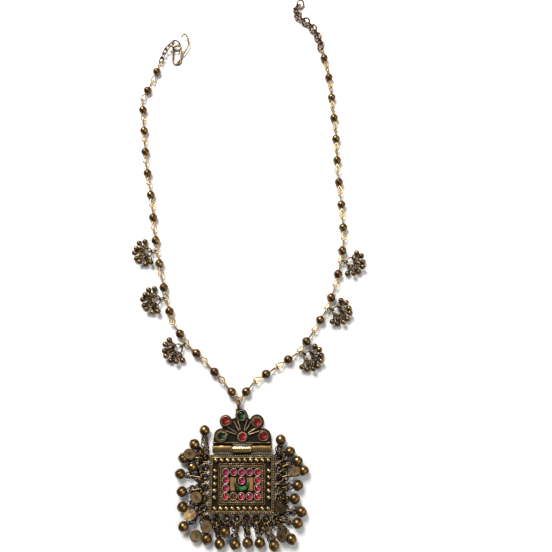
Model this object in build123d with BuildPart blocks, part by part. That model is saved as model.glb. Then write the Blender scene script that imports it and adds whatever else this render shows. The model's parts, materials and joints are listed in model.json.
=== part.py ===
from build123d import *
from math import asin, cos, degrees, pi, radians, sin
import os

# Kuchi tribal necklace, lying open in a U on a flat surface. Millimetres, +Z up off the surface,
# +Y away from the pendant, origin under the middle of the whole necklace.

# Where the pendant lies: the middle of its hinge, measured from the origin
hinge_x = -1.26
hinge_y = -120.67

# Gaps between pieces
link_gap = 0.1
stone_gap = 0.1
knuckle_gap = 0.25

# Hinge between crest and plate
hinge_length = 32.0
barrel_radius = 1.9
pin_radius = 0.7
pin_gap = 0.1
middle_knuckle_length = 10.0
leaf_thickness = 1.2

# Pendant plate
plate_width = 35.2
plate_height = 30.2
plate_thickness = 1.7
plate_drop = 2.8
plate_corner = 1.2
leaf_overlap = 1.0
frame_inset = 0.4
frame_width = 1.0
frame_height = 1.0
inner_frame_width = 23.4
inner_frame_height = 19.4
grain_radius = 1.25
grains_in_row = 10
grains_in_column = 5
grain_pitch = 3.15
grain_column_pitch = 3.4
grain_shift = 0.2
patch_width = 2.9
patch_height = 7.4
patch_thickness = 0.4
patch_offset = 4.9

# Stone cups and cut stones
cup_height = 1.4
cup_wall = 0.45
cup_floor = 0.3
stone_radius = 1.5
stone_columns = 5
stone_rows = 4
stone_column_pitch = 4.28
stone_row_pitch = 4.07
facets = 8
table_share = 0.58
crown_height = 0.75
girdle_height = 0.2
pavilion_height = 0.8
culet_share = 0.3
centre_stone_offset = 1.75

# Green crescent under the centre stone
crescent_radius = 4.0
crescent_drop = 1.1
crescent_bite = 2.95
crescent_stone_radius = 0.78
crescent_stones_count = 4
crescent_stone_step = 34.0
crescent_stone_shift = 0.02

# Loops soldered to the rim of the plate
loop_wire_radius = 0.36
loop_radius = 2.22
loop_sink = 0.3
loop_height = 1.75
bottom_loops = 8
side_loops = 6
bottom_loop_pitch = 5.3
side_loop_pitch = 5.2
side_loop_rise = 0.5

# Crest: a sheet with five lobes, each with a stone in a cup
crest_thickness = 1.6
crest_foot_width = 31.6
crest_foot_height = 3.2
crest_foot_taper = 1.0
ray_width = 0.65
ray_height = 0.8
ray_spread = 7.0
ray_start = 3.4
ray_length = 6.6

# Crest stones: where each sits, its size, the reach of its point if it is a drop, the point's
# heading, and the radius of its lobe of the sheet
crest_cup_wall = 0.75
crest_cup_height = 1.7
foot_bar_radius = 0.6
crest_stones = [
    # name, x, y, stone radius, point, heading, lobe radius
    ("crest_stone_upper_left", -9.3, 14.9, 1.9, 0, 0, 3.4),
    ("crest_stone_top", -0.6, 17.9, 2.1, 0, 0, 3.4),
    ("crest_stone_upper_right", 7.9, 14.6, 1.55, 2.3, -90, 3.9),
    ("crest_stone_lower_left", -11.5, 6.9, 1.7, 2.5, 20, 4.1),
    ("crest_stone_lower_right", 11.5, 6.8, 1.95, 0, 0, 4.2),
    ("crest_stone_foot", 0.0, 6.5, 1.95, 0, 0, 3.4),
]
ray_headings = [25, 67, 113, 154]

# Bail ring on the neck of the crest
bail_lean = -2.2
bail_ring_radius = 2.2
bail_wire_radius = 0.8
bail_rise = 23.55
bail_gap = 0.36
neck_width = 3.6
neck_foot_left = 3.0
neck_foot_right = 2.0
neck_foot_sink = 1.0

# Chain: a bead on a wire with a teardrop eye at both ends
bead_radius = 2.5
bead_pitch = 14.9
wire_radius = 0.4
shaft_radius = 0.42
bore_gap = 0.1
eye_radius = 1.55
eye_neck_radius = 0.5
eye_neck_reach = 3.1
eye_gap = 0.2

# Clusters: balls on loops of thin wire round a ring, which a small ring hangs on an eye of the chain
cluster_ring_radius = 3.0
cluster_hook_radius = 1.75
cluster_hook_wire = 0.35
cluster_hook_gap = 0.17
drop_wire = 0.28
drop_loop_radius = 1.1
drop_neck_radius = 0.35
drop_ball_radius = 1.65
drop_reach = 4.2
drop_sink = 0.35
drop_gap = 0.14
drop_tilt = 58.0
drop_low = -11.5
drop_high = 12.0

# The chain's two routes, as bead places measured from the middle of the hinge, pendant end first
left_route = [(-8.3, 32.4), (-17.0, 42.8), (-28.2, 53.6), (-38.2, 64.2), (-43.3, 76.6), (-47.8, 91.8),
              (-50.9, 107.5), (-54.4, 121.9), (-56.0, 135.3), (-58.5, 150.7), (-61.8, 167.0),
              (-64.2, 182.2), (-65.0, 197.4), (-68.3, 211.3), (-63.8, 224.5), (-58.8, 237.6),
              (-56.8, 247.2)]
right_route = [(2.6, 31.0), (11.7, 40.5), (25.0, 47.7), (36.3, 58.6), (43.9, 71.9), (51.7, 84.9),
               (54.3, 98.3), (58.6, 112.7), (59.0, 126.2), (58.3, 142.4), (57.2, 157.6), (56.2, 173.1),
               (56.5, 187.3), (55.4, 201.2), (54.3, 216.3), (52.9, 233.6), (49.9, 247.7), (47.4, 258.0)]
left_beads = 16
right_beads = 17
# How far each bead's wire is turned on its own line, pendant end first, in degrees
left_twist = [0, 4, 0, 0, -4, 0, 4, 0, 6, 11, 16, 22, 28, 34, 40, 45]
right_twist = [0, -4, 0, 0, 4, 0, -4, 0, -6, -10, -15, -20, -25, -30, -35, -40, -45]

# Each cluster: the chain it hangs on, the bead counted from the pendant, the side of the chain
# as one walks away from the pendant, its number of drops, and the headings of the first and last
clusters = [
    # name, chain, bead, side, drops, first, last
    ("cluster_left_top", "left", 7, 1, 8, -88, 102),
    ("cluster_left_middle", "left", 5, 1, 8, -96, 92),
    ("cluster_left_bottom", "left", 3, 1, 7, -84, 84),
    ("cluster_right_top", "right", 7, -1, 7, -70, 100),
    ("cluster_right_middle", "right", 5, -1, 8, -92, 96),
    ("cluster_right_bottom", "right", 3, -1, 8, -96, 90),
]

# Links that hang on the plate's loops, upright, each with a bell at its end
link_end_radius = 1.3
link_wire = 0.4
link_slack = 0.4
shank_wire = 0.3
shank_sink = 0.25
shank_gap = 0.12
bell_radius = 2.8
bell_wall = 0.5
bell_slit = 0.7
bell_slit_start = 0.3
bell_slit_turn = 35.0
bell_shank_radius = 1.5
small_shank_radius = 1.2
disc_radius = 3.15
disc_thickness = 0.6
disc_rim = 0.5
disc_boss = 1.0
disc_recess = 0.12
small_ball_radius = 1.6
bells = [
    # edge, loop, heading, length of its link or 0 for none, lift or 0 to rest on the surface
    ("left", 0, 93, 8.6, 0),
    ("left", 0, 131, 3.6, 0),
    ("left", 0, 181, 6.0, 0),
    ("left", 1, 175, 0, 0),
    ("left", 2, 171, 7.6, 0),
    ("left", 3, 188, 6.2, 0),
    ("left", 4, 200, 6.2, 0),
    ("left", 5, 220, 7.6, 0),
    ("bottom", 0, 275, 4.0, 0),
    ("bottom", 1, 281, 6.4, 0),
    ("bottom", 2, 268, 0, 38),
    ("bottom", 3, 269, 6.5, 0),
    ("bottom", 4, 275, 5.8, 0),
    ("bottom", 5, 280, 6.0, 0),
    ("bottom", 6, 288, 7.8, 0),
    ("bottom", 7, 309, 6.8, 0),
    ("bottom", 7, 350, 5.6, 0),
    ("right", 5, 354, 6.3, 0),
    ("right", 4, 0, 2.7, 0),
    ("right", 3, 8, 4.6, 0),
    ("right", 2, 16, 8.2, 0),
    ("right", 1, 19, 5.0, 0),
    ("right", 0, 27, 0, 0),
    ("right", 0, 83, 3.7, 0),
]
discs = [
    # edge, hangs on a loop or on a bell's shank, its number, heading, lift, roll
    ("left", "shank", 1, 204, 35, 20),
    ("left", "loop", 3, 228, 35, 0),
    ("left", "shank", 6, 276, 35, 0),
    ("bottom", "shank", 8, 204, 10, 0),
    ("bottom", "loop", 1, 216, 35, 0),
    ("bottom", "shank", 14, 12, 35, 0),
    ("bottom", "loop", 7, 72, 35, 0),
    ("right", "shank", 21, 300, 48, 0),
]
small_balls = [("bottom", "loop", 6, 252, 22, 0)]

# Clasp at the left end: cable links, an oval ring and a bent wire hook with a closed loop
cable_end_radius = 1.2
cable_length = 4.4
cable_wire = 0.45
cable_gap = 0.2
cable_links = 5
cable_lean = 45.0
cable_turn = 99.0
cable_route = [(-57.25, 243.9), (-56.2, 247.4), (-55.1, 250.8), (-53.4, 253.8), (-51.0, 256.4),
               (-48.0, 258.2), (-45.5, 259.0)]
cable_end_height = 4.5
clasp_ring_length = 7.8
clasp_ring_end_radius = 3.0
clasp_ring_wire = 0.5
clasp_ring_roll = 35.0
clasp_ring_slack = 0.2
clasp_ring_slide = 1.0
hook_wire = 0.6
hook_loop_length = 13.2
hook_loop_end_radius = 2.65
hook_tilt = 8.0
hook_place = (-47.0, 243.4)
hook_bends = [(0, 0), (8.5, -4.75), (18.0, -7.05), (21.5, -4.6), (19.5, -2.75)]

# Extension chain at the right end: round rings that lean to one side and the other by turns
extension_radius = 2.55
extension_wire = 0.6
extension_rings = 11
extension_gap = 0.25
extension_lean = -45.0
extension_route = [(48.26, 254.4), (47.6, 259.0), (46.2, 263.6), (44.2, 268.0), (41.8, 272.2), (38.4, 275.4),
                   (34.8, 278.0), (32.2, 281.4), (32.0, 285.6), (34.4, 289.2), (38.0, 291.2)]


def on_pendant(x, y, z=0.0):
    """A place given from the middle of the hinge, as a place in the part's frame."""
    return Vector(hinge_x + x, hinge_y + y, z)


def line_of(points, end_height=bead_radius):
    """A smooth line through places given from the middle of the hinge, from bead height to another."""
    rise = (end_height - bead_radius) / (len(points) - 1)
    with BuildLine() as line:
        Spline(*[on_pendant(x, y, bead_radius + n * rise) for n, (x, y) in enumerate(points)])
    return line.edge()


def steps_along(line, start, pitch, count):
    """Points one pitch apart in a straight line, the first one pitch from start, walking the line."""
    points = [start]
    reached = 0.0
    for step in range(count):
        near, far = reached, min(1.0, reached + 2.0 * pitch / line.length)
        for halving in range(40):
            middle = (near + far) / 2
            if (line @ middle - points[-1]).length < pitch:
                near = middle
            else:
                far = middle
        reached = near
        points.append(line @ reached)
    return points


def between(start, end, turn=0.0):
    """A frame midway between two points, its X along them, turned about that line by turn degrees."""
    along = (end - start).normalized()
    side = Vector(0, 0, 1).cross(along).normalized()
    up = along.cross(side) * cos(radians(turn)) - side * sin(radians(turn))
    return Plane(origin=(start + end) / 2, x_dir=along, z_dir=up)


def ring(radius, wire, plane=Plane.XY):
    """A closed round ring of wire lying in a plane."""
    with BuildPart(plane) as made:
        Torus(radius, wire)
    return made.part


def sweep_wire(path, wire):
    """A round wire swept along a path of lines and arcs."""
    with BuildPart() as made:
        with BuildSketch(Plane(origin=path @ 0, z_dir=path % 0)):
            Circle(wire)
        sweep(path=path)
    return made.part


def teardrop(neck, neck_radius, tip, tip_radius, wire):
    """A teardrop loop of wire in the XY plane, its narrow end at x=neck and its round end at x=tip."""
    near = neck + neck_radius
    far = tip - tip_radius
    lean = degrees(asin((tip_radius - neck_radius) / (far - near)))
    upper_near = Vector(near, 0) + Vector(neck_radius, 0).rotate(Axis.Z, 90 + lean)
    upper_far = Vector(far, 0) + Vector(tip_radius, 0).rotate(Axis.Z, 90 + lean)
    with BuildLine() as loop:
        Line(upper_near, upper_far)
        CenterArc((far, 0), tip_radius, 90 + lean, -180 - 2 * lean)
        Line((upper_far.X, -upper_far.Y), (upper_near.X, -upper_near.Y))
        CenterArc((near, 0), neck_radius, -90 - lean, -180 + 2 * lean)
    return sweep_wire(loop.wire(), wire)


def loose(label, pieces):
    """Pieces that lie clear of each other, gathered in one part."""
    with BuildPart() as gathered:
        add(pieces)
    gathered.part.label = label
    return gathered.part


# One bead and its wire, along X, with the pendant's side toward -X
eye_tip = (bead_pitch + 2 * wire_radius + eye_gap) / 2
eye = teardrop(eye_neck_reach, eye_neck_radius, eye_tip, eye_radius, wire_radius)
with BuildPart() as bead_wire:
    Cylinder(shaft_radius, 2 * eye_neck_reach, rotation=(0, 90, 0))
    add(eye, rotation=(90, 0, 0))
    add(eye, rotation=(0, 0, 180))
with BuildPart() as bead:
    with BuildSketch(Plane.XZ):
        Circle(bead_radius)
        Rectangle(2 * bead_radius, bead_radius, align=(Align.CENTER, Align.MAX), mode=Mode.SUBTRACT)
        Rectangle(2 * bead_radius, shaft_radius + bore_gap, align=(Align.CENTER, Align.MIN),
                  mode=Mode.SUBTRACT)
    revolve(axis=Axis.X)


def string_of(label, unit, frames):
    """Copies of one piece, one at each frame, clear of each other and gathered in one part."""
    with BuildPart() as gathered:
        with Locations(*frames):
            add(unit)
    gathered.part.label = label
    return gathered.part


def chain_frames(route, twists, beads, hang_height):
    """Frames for a chain's beads, from where its first eye hangs round the bail's wire."""
    line = line_of(route)
    bail_bar = on_pendant(bail_lean, bail_rise + bail_ring_radius, hang_height)
    outward = (line @ 0 - bail_bar).normalized()
    start = bail_bar - outward * (bail_wire_radius + bail_gap - eye_gap / 2)
    joints = steps_along(line, start, bead_pitch, beads)
    return [between(joints[n], joints[n + 1], twists[n]) for n in range(beads)]


bail_height = bail_ring_radius + bail_wire_radius
eye_step = wire_radius + link_gap
left_frames = chain_frames(left_route, left_twist, left_beads, bail_height + eye_step)
right_frames = chain_frames(right_route, right_twist, right_beads, bail_height - eye_step)
pieces = [
    string_of("chain_left_beads", bead.part, left_frames),
    string_of("chain_left_wires", bead_wire.part, left_frames),
    string_of("chain_right_beads", bead.part, right_frames),
    string_of("chain_right_wires", bead_wire.part, right_frames),
]


# One drop of a cluster: a ball soldered to a loop, whose round end takes the ring at the origin
drop_loop_tip = wire_radius + drop_gap + drop_wire
with BuildPart() as drop:
    add(teardrop(drop_ball_radius - drop_reach - drop_sink, drop_neck_radius, drop_loop_tip,
                 drop_loop_radius, drop_wire))
    with Locations((-drop_reach, 0)):
        Sphere(drop_ball_radius)


def cluster(name, frame, side, drops, first, last):
    """A ring of drops, hung by a small upright ring on the flat eye of one bead's wire."""
    eye_middle = eye_tip - eye_radius
    slack = cluster_hook_radius - cluster_hook_wire - cluster_hook_gap - wire_radius
    ring_offset = eye_radius + 2 * slack + cluster_ring_radius
    hook_at = frame.from_local_coords(Vector(-eye_middle, side * (eye_radius + slack), 0))
    middle = frame.from_local_coords(Vector(-eye_middle, side * ring_offset, 0))
    outward = frame.y_dir * side
    with BuildPart() as made:
        add(ring(cluster_hook_radius, cluster_hook_wire, Plane(origin=hook_at, z_dir=frame.x_dir)))
        add(ring(cluster_ring_radius, wire_radius, Plane(origin=middle, z_dir=frame.z_dir)))
        for n in range(drops):
            heading = side * (first + (last - first) * n / (drops - 1))
            radial = outward.rotate(Axis((0, 0, 0), tuple(frame.z_dir)), heading)
            lift = drop_high if n % 2 else drop_low
            inward = -(radial * cos(radians(lift)) + frame.z_dir * sin(radians(lift)))
            wire_place = middle + radial * cluster_ring_radius
            across = frame.z_dir.cross(radial)
            up = inward.cross(across) * cos(radians(drop_tilt)) + across * sin(radians(drop_tilt))
            add(Plane(origin=wire_place, x_dir=inward, z_dir=up).location * drop.part)
    made.part.label = name
    return made.part


chains = {"left": left_frames, "right": right_frames}
for name, chain, bead_number, side, drops, first, last in clusters:
    pieces.append(cluster(name, chains[chain][bead_number], side, drops, first, last))


def cut_stone(label, x, y, cup, radius, outline=None):
    """A faceted stone: a small culet, a sloped pavilion, a narrow girdle, a crown and a table."""
    seat = cup + stone_gap
    girdle = seat + pavilion_height
    levels = [(seat, culet_share), (girdle, 1.0), (girdle + girdle_height, 1.0),
              (girdle + girdle_height + crown_height, table_share)]
    with BuildPart() as stone:
        for height, share in levels:
            with BuildSketch(Plane(origin=on_pendant(x, y, height))):
                if outline:
                    Polygon(*[(share * u, share * v) for u, v in outline], align=None)
                else:
                    RegularPolygon(radius * share, facets)
        loft(ruled=True)
    stone.part.label = label
    return stone.part


def drop_outline(radius, point, heading):
    """A drop's outline with straight sides: a round of facets drawn out to one point."""
    around = []
    for n in range(facets):
        angle = radians(heading + 360 * n / facets)
        reach = point if n == 0 else radius
        around.append((reach * cos(angle), reach * sin(angle)))
    return around


# Middle of the plate, and its rows and columns, from the middle of the hinge
plate_middle = -plate_drop - plate_height / 2
stone_seat = plate_thickness + cup_floor
stone_places = [
    (column, row)
    for row in range(stone_rows)
    for column in range(stone_columns)
    if row in (0, stone_rows - 1) or column in (0, stone_columns - 1)
]
empty_cup = (1, stone_rows - 1)


def stone_place(column, row):
    """Where a stone of the border sits, from the middle of the hinge."""
    return (
        (column - (stone_columns - 1) / 2) * stone_column_pitch,
        plate_middle - (row - (stone_rows - 1) / 2) * stone_row_pitch,
    )


centre_stone = (0.0, plate_middle + centre_stone_offset)
crescent_middle = centre_stone[1] - crescent_drop
crescent_ring = (crescent_bite + crescent_radius + crescent_drop) / 2 - crescent_stone_shift
crescent_places = []
for n in range(crescent_stones_count):
    angle = radians(-90 + (n - (crescent_stones_count - 1) / 2) * crescent_stone_step)
    crescent_places.append((crescent_ring * cos(angle), centre_stone[1] + crescent_ring * sin(angle)))

stone_hole = stone_radius + stone_gap
cup_radius = stone_hole + cup_wall
loop_offset = loop_radius + loop_wire_radius - loop_sink
side_loop_x = plate_width / 2 + loop_offset
bottom_loop_y = -plate_drop - plate_height - loop_offset


def loop_place(edge, n):
    """The middle of a rim loop, from the middle of the hinge. Side loops count down, bottom ones right."""
    if edge == "bottom":
        return ((n - (bottom_loops - 1) / 2) * bottom_loop_pitch, bottom_loop_y)
    drop = (n - (side_loops - 1) / 2) * side_loop_pitch
    return (-side_loop_x if edge == "left" else side_loop_x, plate_middle + side_loop_rise - drop)


rim_loops = (
    [("left", n) for n in range(side_loops)]
    + [("bottom", n) for n in range(bottom_loops)]
    + [("right", n) for n in range(side_loops)]
)


with BuildPart() as plate:
    with BuildSketch(Plane(origin=on_pendant(0, plate_middle))):
        RectangleRounded(plate_width, plate_height, plate_corner)
    extrude(amount=plate_thickness)
    # Raised frames round the edge and round the field of stones
    with BuildSketch(Plane(origin=on_pendant(0, plate_middle, plate_thickness))):
        Rectangle(plate_width - 2 * frame_inset, plate_height - 2 * frame_inset)
        Rectangle(plate_width - 2 * (frame_inset + frame_width),
                  plate_height - 2 * (frame_inset + frame_width), mode=Mode.SUBTRACT)
        Rectangle(inner_frame_width, inner_frame_height)
        Rectangle(inner_frame_width - 2 * frame_width, inner_frame_height - 2 * frame_width,
                  mode=Mode.SUBTRACT)
    extrude(amount=frame_height)
    # Flat patches beside the middle stone
    with BuildSketch(Plane(origin=on_pendant(0, plate_middle, plate_thickness))):
        with Locations((-patch_offset, 0), (patch_offset, 0)):
            Rectangle(patch_width, patch_height)
    extrude(amount=patch_thickness)
    # Large grains in the band between the frames
    grain_row_offset = (plate_height + inner_frame_height) / 4 - grain_shift
    grain_column_offset = (plate_width + inner_frame_width) / 4 - grain_shift
    for side in (-1, 1):
        with Locations(Plane(origin=on_pendant(0, plate_middle + side * grain_row_offset,
                                               plate_thickness))):
            with GridLocations(grain_pitch, 1, grains_in_row, 1):
                Sphere(grain_radius)
        with Locations(Plane(origin=on_pendant(side * grain_column_offset, plate_middle,
                                               plate_thickness))):
            with GridLocations(1, grain_column_pitch, 1, grains_in_column):
                Sphere(grain_radius)
    # Cups for the border, the middle stone and the crescent
    with BuildSketch(Plane(origin=on_pendant(0, 0, plate_thickness))):
        with Locations(*[stone_place(*place) for place in stone_places], centre_stone):
            Circle(cup_radius)
        with Locations((centre_stone[0], crescent_middle)):
            Circle(crescent_radius)
        with Locations(centre_stone):
            Circle(crescent_bite, mode=Mode.SUBTRACT)
            Circle(cup_radius)
    extrude(amount=cup_height)
    with BuildSketch(Plane(origin=on_pendant(0, 0, stone_seat))):
        with Locations(*[stone_place(*place) for place in stone_places], centre_stone):
            Circle(stone_hole)
        with Locations(*crescent_places):
            Circle(crescent_stone_radius + stone_gap)
    extrude(amount=cup_height, mode=Mode.SUBTRACT)
    # The middle knuckle and its leaf
    with BuildSketch(Plane(origin=on_pendant(-middle_knuckle_length / 2, 0, barrel_radius),
                           z_dir=(1, 0, 0))):
        Circle(barrel_radius)
    extrude(amount=middle_knuckle_length)
    with BuildSketch(Plane(origin=on_pendant(0, 0))):
        Rectangle(middle_knuckle_length - 2 * knuckle_gap, plate_drop + leaf_overlap,
                  align=(Align.CENTER, Align.MAX))
    extrude(amount=leaf_thickness)
    with BuildSketch(Plane(origin=on_pendant(-hinge_length, 0, barrel_radius), z_dir=(1, 0, 0))):
        Circle(pin_radius + pin_gap)
    extrude(amount=2 * hinge_length, mode=Mode.SUBTRACT)
    # Loops soldered round three edges
    for edge, n in rim_loops:
        with Locations(Location(on_pendant(*loop_place(edge, n), loop_height))):
            Torus(loop_radius, loop_wire_radius)
plate.part.label = "plate"
pieces.append(plate.part)


def crest_outline(radius, point, heading):
    """The outline of a crest stone: a round for point 0, otherwise a drop."""
    if point:
        return drop_outline(radius, point, heading)
    return [(radius * cos(2 * pi * n / facets), radius * sin(2 * pi * n / facets)) for n in range(facets)]


crest_foot = plate_drop
top_stone_x, top_stone_y = crest_stones[1][1:3]
foot_stone_x, foot_stone_y = crest_stones[-1][1:3]
crest_seat = crest_thickness + cup_floor
outer_knuckle_length = (hinge_length - middle_knuckle_length) / 2 - knuckle_gap
with BuildPart() as crest:
    with BuildSketch(Plane(origin=on_pendant(0, 0))):
        for name, x, y, radius, point, heading, lobe in crest_stones:
            with Locations((x, y)):
                Circle(lobe)
        Polygon(*[(x, y) for name, x, y, radius, point, heading, lobe in crest_stones[:3]],
                (crest_foot_width / 2 - crest_foot_taper, crest_foot),
                (crest_foot_taper - crest_foot_width / 2, crest_foot), align=None)
        with Locations((0, crest_foot)):
            Rectangle(crest_foot_width, crest_foot_height, align=(Align.CENTER, Align.MIN))
            Rectangle(2 * crest_foot_width, 2 * crest_foot, align=(Align.CENTER, Align.MAX),
                      mode=Mode.SUBTRACT)
    extrude(amount=crest_thickness)
    # Raised rays between the lobes, in pairs
    with BuildSketch(Plane(origin=on_pendant(foot_stone_x, foot_stone_y, crest_thickness))):
        for heading in ray_headings:
            for spread in (-ray_spread, ray_spread):
                with Locations(Location((0, 0), heading + spread)):
                    with Locations((ray_start, 0)):
                        Rectangle(ray_length, ray_width, align=(Align.MIN, Align.CENTER))
    extrude(amount=ray_height)
    # Cups
    with BuildSketch(Plane(origin=on_pendant(0, 0, crest_thickness))):
        for name, x, y, radius, point, heading, lobe in crest_stones:
            with Locations((x, y)):
                Circle(max(radius, point) + stone_gap + crest_cup_wall)
    extrude(amount=crest_cup_height)
    # Neck and bail ring
    with BuildSketch(Plane(origin=on_pendant(0, 0))):
        Polygon((bail_lean - neck_width / 2, bail_rise - bail_ring_radius),
                (bail_lean + neck_width / 2, bail_rise - bail_ring_radius),
                (top_stone_x + neck_foot_right, top_stone_y + neck_foot_sink),
                (top_stone_x - neck_foot_left, top_stone_y + neck_foot_sink), align=None)
    extrude(amount=bail_height)
    with Locations(Plane(origin=on_pendant(bail_lean, bail_rise, bail_height), z_dir=(1, 0, 0))):
        Torus(bail_ring_radius, bail_wire_radius)
    # Seats for the stones
    for name, x, y, radius, point, heading, lobe in crest_stones:
        growth = 1 + 2 * stone_gap / radius
        with BuildSketch(Plane(origin=on_pendant(x, y, crest_seat))):
            Polygon(*[(growth * u, growth * v) for u, v in crest_outline(radius, point, heading)],
                    align=None)
        extrude(amount=crest_cup_height, mode=Mode.SUBTRACT)
    # Rolled bar along the foot, outer knuckles and their leaves
    with BuildSketch(Plane(origin=on_pendant(-crest_foot_width / 2, crest_foot + foot_bar_radius,
                                             crest_thickness), z_dir=(1, 0, 0))):
        Circle(foot_bar_radius)
    extrude(amount=crest_foot_width)
    for start in (-hinge_length / 2, middle_knuckle_length / 2 + knuckle_gap):
        with BuildSketch(Plane(origin=on_pendant(start, 0, barrel_radius), z_dir=(1, 0, 0))):
            Circle(barrel_radius)
        extrude(amount=outer_knuckle_length)
        with BuildSketch(Plane(origin=on_pendant(start, 0))):
            Rectangle(outer_knuckle_length, crest_foot + leaf_overlap, align=(Align.MIN, Align.MIN))
        extrude(amount=leaf_thickness)
    with BuildSketch(Plane(origin=on_pendant(-hinge_length, 0, barrel_radius), z_dir=(1, 0, 0))):
        Circle(pin_radius + pin_gap)
    extrude(amount=2 * hinge_length, mode=Mode.SUBTRACT)
crest.part.label = "crest"
pieces.append(crest.part)

with BuildPart() as hinge_pin:
    with BuildSketch(Plane(origin=on_pendant(-hinge_length / 2, 0, barrel_radius), z_dir=(1, 0, 0))):
        Circle(pin_radius)
    extrude(amount=hinge_length)
hinge_pin.part.label = "hinge_pin"
pieces.append(hinge_pin.part)

# The stones
for name, x, y, radius, point, heading, lobe in crest_stones:
    outline = crest_outline(radius, point, heading)
    pieces.append(cut_stone(name, x, y, crest_seat, radius, outline))
for n, place in enumerate(stone_places):
    if place != empty_cup:
        pieces.append(cut_stone(f"border_stone_{n + 1:02d}", *stone_place(*place), stone_seat, stone_radius))
pieces.append(cut_stone("centre_stone", *centre_stone, stone_seat, stone_radius))
pieces.append(loose("crescent_stones", [
    cut_stone("", x, y, stone_seat, crescent_stone_radius) for x, y in crescent_places]))


def toward(heading, lift=0.0):
    """The unit direction at a heading on the surface, tilted up by lift degrees."""
    return Vector(cos(radians(lift)) * cos(radians(heading)), cos(radians(lift)) * sin(radians(heading)),
                  sin(radians(lift)))


def facing(origin, heading, lift=0.0):
    """A frame with its X toward a heading and a lift, and its Y level."""
    return Plane(origin=origin, x_dir=toward(heading, lift), z_dir=toward(heading, lift + 90))


def link(length, end_radius, wire):
    """A long link in the XY plane along +X, the middle of its near end's wire at the origin."""
    far = length - end_radius
    with BuildLine() as loop:
        Line((end_radius, end_radius), (far, end_radius))
        CenterArc((far, 0), end_radius, 90, -180)
        Line((far, -end_radius), (end_radius, -end_radius))
        CenterArc((end_radius, 0), end_radius, -90, -180)
    return sweep_wire(loop.wire(), wire)


# Bells, their shank ring flat to hang on an upright link, or upright to hang on a flat loop. The wire
# that a shank hangs on is at the origin.
loop_seat = loop_wire_radius + shank_wire + shank_gap
link_seat = link_wire + shank_wire + link_slack
shank_seat = 2 * shank_wire + shank_gap


def hung(radius, seat, upright, body_radius, body):
    """A body with a shank ring that hangs with the given seat on a wire at the origin."""
    with BuildPart() as made:
        with Locations(Location((radius - seat, 0, 0), (90, 0, 0) if upright else (0, 0, 0))):
            Torus(radius, shank_wire)
        with Locations((2 * radius - seat + body_radius - shank_sink, 0, 0)):
            add(body)
    return made.part


with BuildPart() as bell_body:
    with BuildSketch(Plane.XZ):
        Circle(bell_radius)
        Circle(bell_radius - bell_wall, mode=Mode.SUBTRACT)
        Rectangle(2 * bell_radius, bell_radius, align=(Align.CENTER, Align.MAX), mode=Mode.SUBTRACT)
    revolve(axis=Axis.X)
    with BuildSketch(Plane.YZ.offset(bell_slit_start)):
        with Locations(Location((0, 0), bell_slit_turn)):
            Rectangle(bell_slit, 3 * bell_radius)
    extrude(amount=bell_radius, mode=Mode.SUBTRACT)
with BuildPart() as disc_body:
    Cylinder(disc_radius, disc_thickness)
    with Locations((0, 0, disc_thickness / 2)):
        Cylinder(disc_radius - disc_rim, 2 * disc_recess, mode=Mode.SUBTRACT)
        Cylinder(disc_boss, 2 * disc_recess)
with BuildPart() as ball_body:
    Sphere(small_ball_radius)


def resting_lift(seat):
    """The lift at which a bell that hangs at loop height rests on the surface."""
    reach = 2 * bell_shank_radius - seat + bell_radius - shank_sink
    return degrees(asin((bell_radius - loop_height) / reach))


hanging = {}
for kind in ("links", "bells", "discs"):
    for edge in ("left", "bottom", "right"):
        hanging[f"{kind}_{edge}"] = []
shanks = []
for edge, n, heading, length, lift in bells:
    middle = on_pendant(*loop_place(edge, n), loop_height)
    if length:
        near = loop_radius - loop_wire_radius - link_gap - link_wire
        upright = Plane(origin=middle + toward(heading) * near, x_dir=toward(heading),
                        z_dir=toward(heading + 90))
        hanging["links_" + edge].append(upright.location * link(length, link_end_radius, link_wire))
        hook_at, seat = middle + toward(heading) * (near + length), link_seat
    else:
        hook_at, seat = middle + toward(heading) * loop_radius, loop_seat
    place = facing(hook_at, heading, lift or resting_lift(seat))
    bell = hung(bell_shank_radius, seat, not length, bell_radius, bell_body.part)
    hanging["bells_" + edge].append(place.location * bell)
    shanks.append(hook_at + place.x_dir * (bell_shank_radius - seat))
for body_radius, body, node, places in (
    (disc_radius, disc_body.part, "discs_", discs),
    (small_ball_radius, ball_body.part, "bells_", small_balls),
):
    for edge, kind, n, heading, lift, roll in places:
        if kind == "loop":
            hook_at = on_pendant(*loop_place(edge, n), loop_height) + toward(heading) * loop_radius
            seat = loop_seat
        else:
            hook_at = shanks[n] + toward(heading) * bell_shank_radius
            seat = shank_seat
        rolled = Location((0, 0, 0), (roll, 0, 0)) * body
        charm = hung(small_shank_radius, seat, True, body_radius, rolled)
        hanging[node + edge].append(facing(hook_at, heading, lift).location * charm)
for label, group in hanging.items():
    if group:
        pieces.append(loose(label, group))

# Clasp
cable_start = left_frames[-1].from_local_coords(Vector(bead_pitch / 2, 0, 0))
cable_pitch = cable_length - 2 * cable_wire - cable_gap
cable_joints = steps_along(line_of(cable_route, cable_end_height), cable_start, cable_pitch, cable_links)
cable_link = Location((-cable_length / 2, 0, 0)) * link(cable_length, cable_end_radius, cable_wire)
pieces.append(string_of("clasp_links", cable_link, [
    between(cable_joints[n], cable_joints[n + 1], cable_lean + n * cable_turn) for n in range(cable_links)]))
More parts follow.
